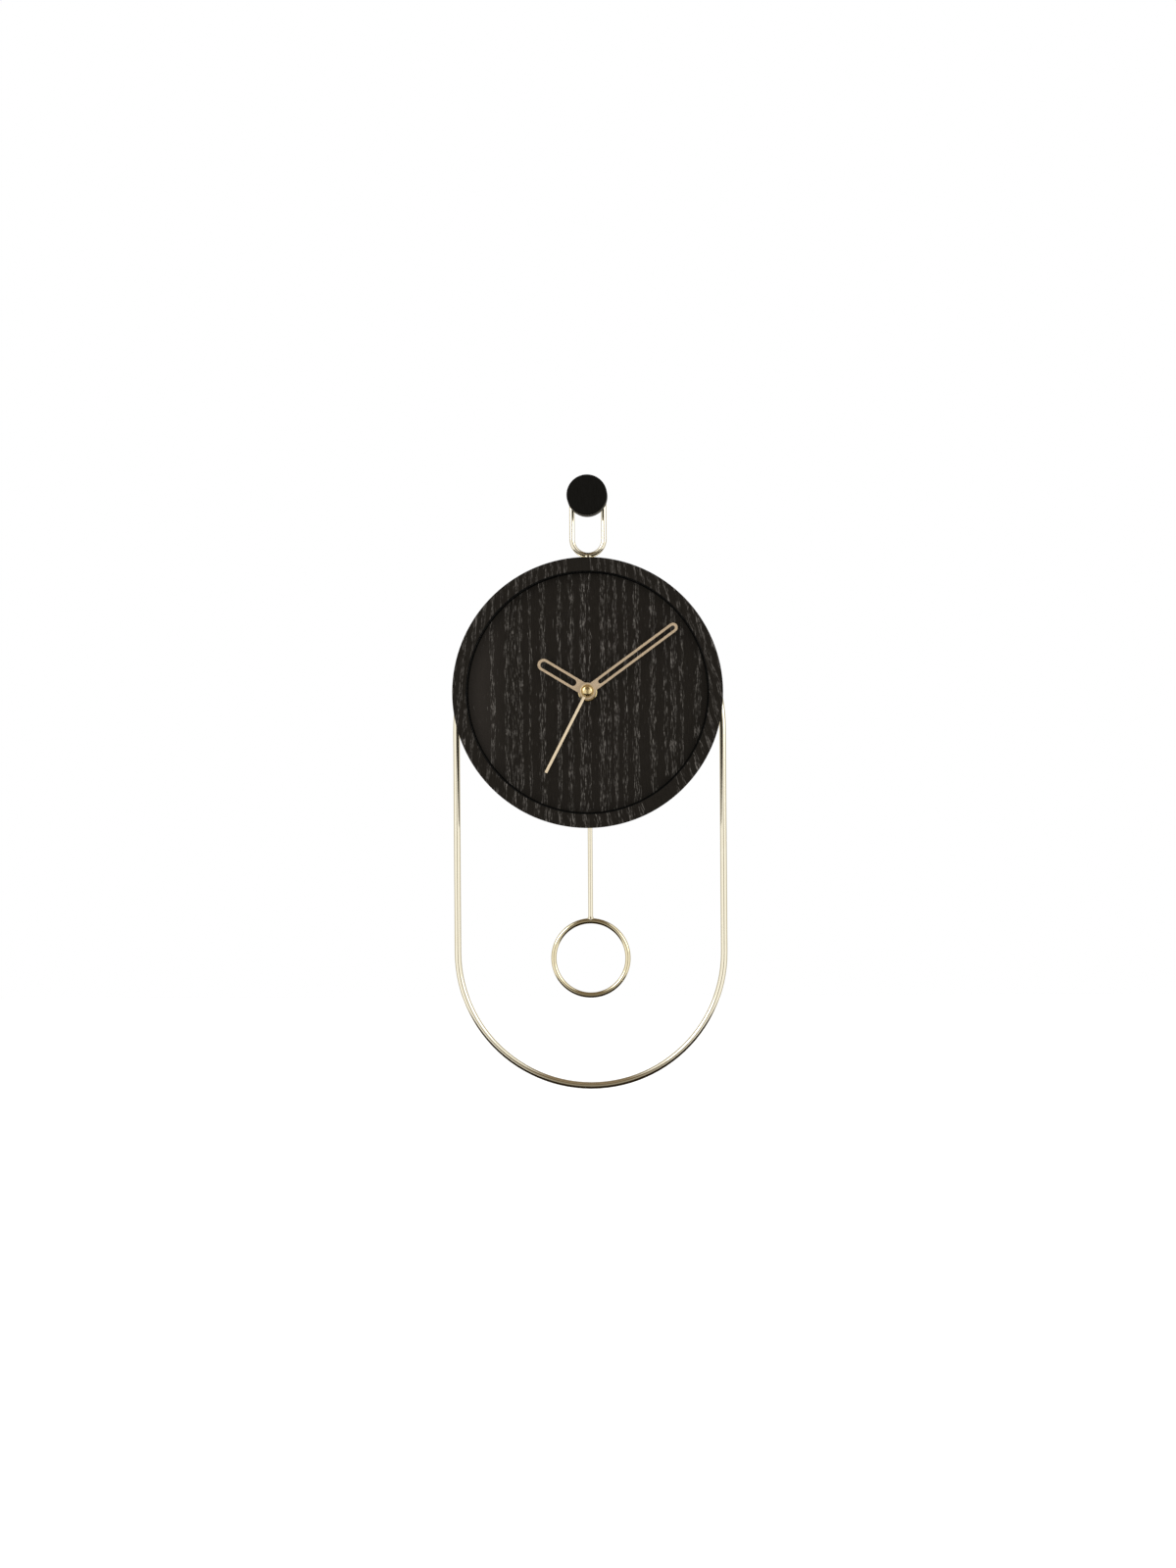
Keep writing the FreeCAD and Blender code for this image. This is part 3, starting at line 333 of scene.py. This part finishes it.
# A node has a material of its own, or else the one of its slot in the record
OWN = {
    "wall_knob": stained_wood("black_wood_knob"),
    # The dial gets a painted sheen on its left part; dial and rim get painted shade along the rim's
    # inner edge
    "dial_veneer": veneer("black_ash_dial", 1.0, DIAL_LINES, sheen=0.5,
                          shade=(RIM_INNER - 1.3, RIM_INNER - 0.7)),
    "front_veneer": veneer("black_ash_rim", 2.0, slant=(-0.10, 0.30),
                           bare=((-8, 14, 1), (24, 46, -1)),
                           shade=(RIM_INNER + 0.7, RIM_INNER + 0.3)),
    "edge_veneer": veneer("black_ash_edge", 3.0, around=True),
    # The ring has the rods' gold made darker and yellower; the darkness is painted shade for its
    # dimmer reflections
    "pendulum_ring": polished("ring_gold_painted_shade", (0.81, 0.71, 0.47), (0.89, 0.80, 0.58), 0.10, 0.004),
    "motor_coil": winding("motor_winding", 0.2, flat=False),
    "pendulum_coil": winding("flat_winding", 0.25, flat=True),
}
SLOTS = {
    "fibreboard": board("painted_fibreboard"),
    "gold_rod": polished("pale_gold", (0.92, 0.85, 0.67), (0.97, 0.91, 0.75), 0.10, 0.004),
    "copper_hand": hand_metal("copper_hand", (0.40, 0.30, 0.195), (0.60, 0.465, 0.315), 0.45, 0.36),
    "gold_hand": hand_metal("gold_hand", (0.62, 0.49, 0.33), (0.80, 0.67, 0.47), 0.3, 0.34),
    "brass": polished("turned_brass", (0.78, 0.60, 0.30), (0.86, 0.69, 0.38), 0.2, 0.008),
    "steel": polished("bright_steel", (0.50, 0.50, 0.49), (0.62, 0.62, 0.60), 0.28, 0.01),
    "spring_steel": polished("nickel_strip", (0.62, 0.60, 0.56), (0.72, 0.70, 0.66), 0.22, 0.006),
    "magnet": polished("sintered_magnet", (0.10, 0.10, 0.11), (0.17, 0.17, 0.18), 0.45, 0.03),
    "rubber": plastic("rubber", (0.008, 0.008, 0.008), (0.016, 0.016, 0.016), 0.8, 0.04),
    "black_plastic": plastic("black_plastic", (0.010, 0.010, 0.011), (0.017, 0.017, 0.018),
                             0.5, 0.03),
    "white_plastic": plastic("white_acetal", (0.72, 0.71, 0.67), (0.82, 0.81, 0.78), 0.38, 0.01),
    "nylon": plastic("grey_nylon", (0.24, 0.25, 0.26), (0.32, 0.33, 0.34), 0.45, 0.02),
    "black_resin": plastic("black_resin", (0.004, 0.004, 0.004), (0.010, 0.010, 0.010), 0.2, 0.02),
    "circuit_laminate": plastic("circuit_laminate", (0.20, 0.11, 0.035), (0.27, 0.16, 0.055),
                                0.35, 0.02),
    "battery_sleeve": plastic("battery_sleeve", (0.025, 0.027, 0.03), (0.04, 0.042, 0.045),
                              0.3, 0.01),
}
SLEEVE_BAND = plastic("battery_sleeve_band", (0.42, 0.40, 0.36), (0.50, 0.48, 0.43), 0.3, 0.01)


def dress(obj, material):
    obj.data.materials.clear()
    obj.data.materials.append(material)


for entry in frame["record"]["subparts"]:
    node_name = entry["node"]
    dress(NODES[node_name], OWN.get(node_name) or SLOTS[entry["material_slot"]])


# ---------------------------------------------------------------- turned pieces in more detail

AXIS_GAP = 0.001


def turned(name, profile, place, axis, materials, turns=96):
    """Mesh turned about an axis through place.

    Profile rows are (radius, height, material number) in millimetres, and a row's material covers
    the strip from it to the next row. Height runs towards the room or up, by the axis.
    """
    if axis == "y":
        side_a = Vector((1, 0, 0))
        side_b = Vector((0, 0, 1))
        along = Vector((0, -1, 0))
    else:
        side_a = Vector((0, 1, 0))
        side_b = Vector((1, 0, 0))
        along = Vector((0, 0, 1))
    points = []
    for radius, height, number in profile:
        for turn in range(turns):
            angle = 2 * math.pi * turn / turns
            out = side_a * math.cos(angle) + side_b * math.sin(angle)
            points.append(place + (out * radius + along * height) * MM)
    faces = []
    numbers = []
    for row in range(len(profile) - 1):
        for turn in range(turns):
            after = (turn + 1) % turns
            faces.append((row * turns + turn, row * turns + after,
                          (row + 1) * turns + after, (row + 1) * turns + turn))
            numbers.append(profile[row][2])
    mesh = bpy.data.meshes.new(name)
    mesh.from_pydata(points, [], faces)
    for face, number in zip(mesh.polygons, numbers):
        face.material_index = number
        face.use_smooth = True
    for material in materials:
        mesh.materials.append(material)
    mesh.set_sharp_from_angle(angle=math.radians(32))
    made = bpy.data.objects.new(name, mesh)
    bpy.context.scene.collection.objects.link(made)
    return made


def stand_for(made, node, body):
    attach(made, body)
    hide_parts(node)


def domed_boss():
    """Turned brass boss of the second hand with a shallow domed front."""
    low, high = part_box("second_hand_boss")
    radius = (high.x - low.x) / 2 / MM
    depth = (high.y - low.y) / MM
    place = Vector((HUB.x, high.y, HUB.z))
    bore_r = 0.62
    neck_r = 2.15
    neck_length = 0.8
    dome_r = radius - 0.3
    dome_height = 1.25
    foot = depth - dome_height
    rows = [(bore_r, 0.0, 0), (neck_r, 0.0, 0), (neck_r, neck_length, 0), (radius, neck_length, 0),
            (radius, neck_length + 0.25, 0), (radius - 0.12, neck_length + 0.4, 0),
            (dome_r, foot, 0)]
    for number in range(1, 11):
        angle = math.radians(9 * number)
        rows.append((dome_r * math.cos(angle) + AXIS_GAP, foot + dome_height * math.sin(angle), 0))
    made = turned("second_hand_boss_domed", rows, place, "y", [SLOTS["brass"]])
    stand_for(made, "second_hand_boss", "second_group")


def battery_cell():
    """AA cell: steel cap with its nub, a plastic insulating ring, a two-tone sleeve with rolled
    edges and a steel base."""
    low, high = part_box("battery")
    radius = (high.x - low.x) / 2 / MM
    length = (high.z - low.z) / MM
    place = Vector(((low.x + high.x) / 2, (low.y + high.y) / 2, low.z))
    sleeve, steel, band, insulator = range(4)
    nub_r = 2.75
    rolled_r = radius - 0.35
    body = length - 1.2
    rows = [(AXIS_GAP, 0.25, steel), (4.6, 0.25, steel), (4.9, 0.0, steel), (6.1, 0.0, steel),
            (6.5, 0.3, sleeve), (rolled_r, 0.3, sleeve), (radius, 0.9, sleeve),
            (radius, body * 0.30, band), (radius, body * 0.325, sleeve),
            (radius, body - 0.9, sleeve), (rolled_r, body - 0.3, sleeve),
            (5.9, body - 0.3, insulator), (5.9, body - 0.6, insulator),
            (3.6, body - 0.6, steel), (3.3, body - 0.2, steel), (nub_r, body - 0.2, steel),
            (nub_r, length - 0.25, steel), (nub_r - 0.25, length, steel), (AXIS_GAP, length, steel)]
    made = turned("battery_aa", rows, place, "z",
                  [SLOTS["battery_sleeve"], SLOTS["spring_steel"], SLEEVE_BAND, SLOTS["nylon"]])
    stand_for(made, "battery", "battery_cell")


def ribbed_plug():
    """Nylon wall plug with saw-tooth barbs along its shaft and a plain collar at its mouth."""
    low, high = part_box("wall_plug")
    radius = (high.x - low.x) / 2 / MM
    length = (high.y - low.y) / MM
    place = Vector((0.0, high.y, 0.0))
    bore_r = 2.52
    valley_r = radius - 0.55
    barb_pitch = 2.9
    barb_rise = 2.2
    rows = [(bore_r, 0.0, 0), (radius - 1.1, 0.0, 0), (valley_r, 1.2, 0)]
    height = 2.4
    while height < length - 8.0:
        rows += [(valley_r, height, 0), (radius - 0.02, height + barb_rise, 0),
                 (valley_r, height + barb_rise + 0.1, 0)]
        height += barb_pitch
    rows += [(radius - 0.1, length - 5.0, 0), (radius, length - 4.4, 0), (radius, length, 0),
             (bore_r, length, 0), (bore_r, 0.0, 0)]
    made = turned("wall_plug_ribbed", rows, place, "y", [SLOTS["nylon"]], turns=64)
    stand_for(made, "wall_plug", "wall_mount")


domed_boss()
battery_cell()
ribbed_plug()


# ---------------------------------------------------------------- stage, light and camera

LIT_FROM = Vector((0.0, -0.03, -0.22))
FLOOR_Z = -1.6
FLOOR_HALF = 14.0
CAMERA_PLACE = Vector((0.055, -1.853, -0.2155))
CAMERA_ROLL = -0.4
CAMERA_LENS = 56.08
STAND_FRONT = (0.30, 0.27, 0.22, 1.0)
WALL_SIDE = (1.0, 1.0, 0.99, 1.0)
WALL_BEHIND = (0.56, 0.53, 0.46, 1.0)
CEILING_LOW = (0.14, 0.105, 0.066, 1.0)
CEILING_HIGH = (0.31, 0.245, 0.172, 1.0)
ROOM_FLOOR = (0.017, 0.0115, 0.005, 1.0)
WHITE = (1.0, 1.0, 1.0, 1.0)


def studio_world():
    """White all round; reflections see a plain studio instead, with a narrow dark stand in front,
    white walls at the sides, a beige wall behind, a brown ceiling and a dark brown floor."""
    made = bpy.data.worlds.new("studio")
    made.use_nodes = True
    tree = made.node_tree

    def node(kind, inputs=(), **settings):
        added = tree.nodes.new(kind)
        for key, value in settings.items():
            setattr(added, key, value)
        for key, value in dict(inputs).items():
            if isinstance(value, bpy.types.NodeSocket):
                tree.links.new(value, added.inputs[key])
            else:
                added.inputs[key].default_value = value
        return added.outputs

    def math_node(operation, a, b=0.0):
        return node("ShaderNodeMath", {0: a, 1: b}, operation=operation)[0]

    def step(value, low, high):
        return node("ShaderNodeMapRange", {"Value": value, "From Min": low, "From Max": high},
                    interpolation_type="SMOOTHSTEP")[0]

    def mix(factor, a, b):
        inputs = {0: factor, 6: a, 7: b}
        return node("ShaderNodeMix", inputs, data_type="RGBA")[2]

    direction = node("ShaderNodeTexCoord")["Generated"]
    x, y, z = node("ShaderNodeSeparateXYZ", {0: direction})[0:3]
    azimuth = math_node("ABSOLUTE", math_node("ARCTAN2", x, math_node("MULTIPLY", y, -1.0)))
    azimuth = math_node("DEGREES", azimuth)
    elevation = math_node("DEGREES", math_node("ARCSINE", z))

    room = mix(step(azimuth, 9.0, 14.0), STAND_FRONT, WALL_SIDE)
    room = mix(step(azimuth, 78.0, 100.0), room, WALL_BEHIND)
    narrow = step(math_node("ABSOLUTE", x), 0.5, 0.28)
    overhead = math_node("MULTIPLY", step(elevation, 9.0, 17.0), narrow)
    room = mix(overhead, room, mix(step(elevation, 35.0, 60.0), CEILING_LOW, CEILING_HIGH))
    room = mix(step(elevation, -23.0, -34.0), room, ROOM_FLOOR)
    glossy = node("ShaderNodeLightPath")["Is Glossy Ray"]
    tree.links.new(mix(glossy, WHITE, room), tree.nodes["Background"].inputs["Color"])
    bpy.context.scene.world = made


def pale_floor():
    """Wide pale floor far below the clock, which reflections don't see."""
    corners = ((-1, -1), (1, -1), (1, 1), (-1, 1))
    mesh = bpy.data.meshes.new("floor")
    mesh.from_pydata([(x * FLOOR_HALF, y * FLOOR_HALF, FLOOR_Z) for x, y in corners], [],
                     [(0, 1, 2, 3)])
    m = Finish("pale_floor", roughness=0.8, specular=0.1)
    cloud = m.noise(m.place, 0.002, detail=2.0)
    m.set("Base Color", m.mix(cloud, (0.86, 0.86, 0.86), (0.9, 0.9, 0.9)))
    m.set("Emission Color", WHITE)
    m.set("Emission Strength", 0.3)
    mesh.materials.append(m.data)
    floor = bpy.data.objects.new("floor", mesh)
    bpy.context.scene.collection.objects.link(floor)
    floor.visible_glossy = False


def area_light(name, place, size, power):
    """Round soft light that faces the clock."""
    data = bpy.data.lights.new(name, "AREA")
    data.shape = "DISK"
    data.size = size
    data.energy = power
    obj = bpy.data.objects.new(name, data)
    obj.location = place
    obj.rotation_mode = "QUATERNION"
    obj.rotation_quaternion = (LIT_FROM - Vector(place)).to_track_quat("-Z", "Y")
    bpy.context.scene.collection.objects.link(obj)


def view_camera():
    """Camera a little to the right of the clock, level with its middle and turned by its roll."""
    data = bpy.data.cameras.new("camera")
    data.lens = CAMERA_LENS
    data.sensor_width = 36.0
    camera = bpy.data.objects.new("camera", data)
    camera.location = CAMERA_PLACE
    camera.rotation_mode = "QUATERNION"
    aim = Vector((0.0, CASE_FRONT, CAMERA_PLACE.z)) - CAMERA_PLACE
    roll = Quaternion((0.0, 0.0, 1.0), math.radians(CAMERA_ROLL))
    camera.rotation_quaternion = aim.to_track_quat("-Z", "Y") @ roll
    bpy.context.scene.collection.objects.link(camera)
    bpy.context.scene.camera = camera


studio_world()
pale_floor()
area_light("soft_left", (-1.6, -1.4, 0.7), size=1.2, power=14.0)
area_light("soft_right", (1.8, -1.2, 0.4), size=1.2, power=6.0)
view_camera()
bpy.context.scene.view_settings.view_transform = "Standard"
bpy.context.scene.view_settings.look = "None"
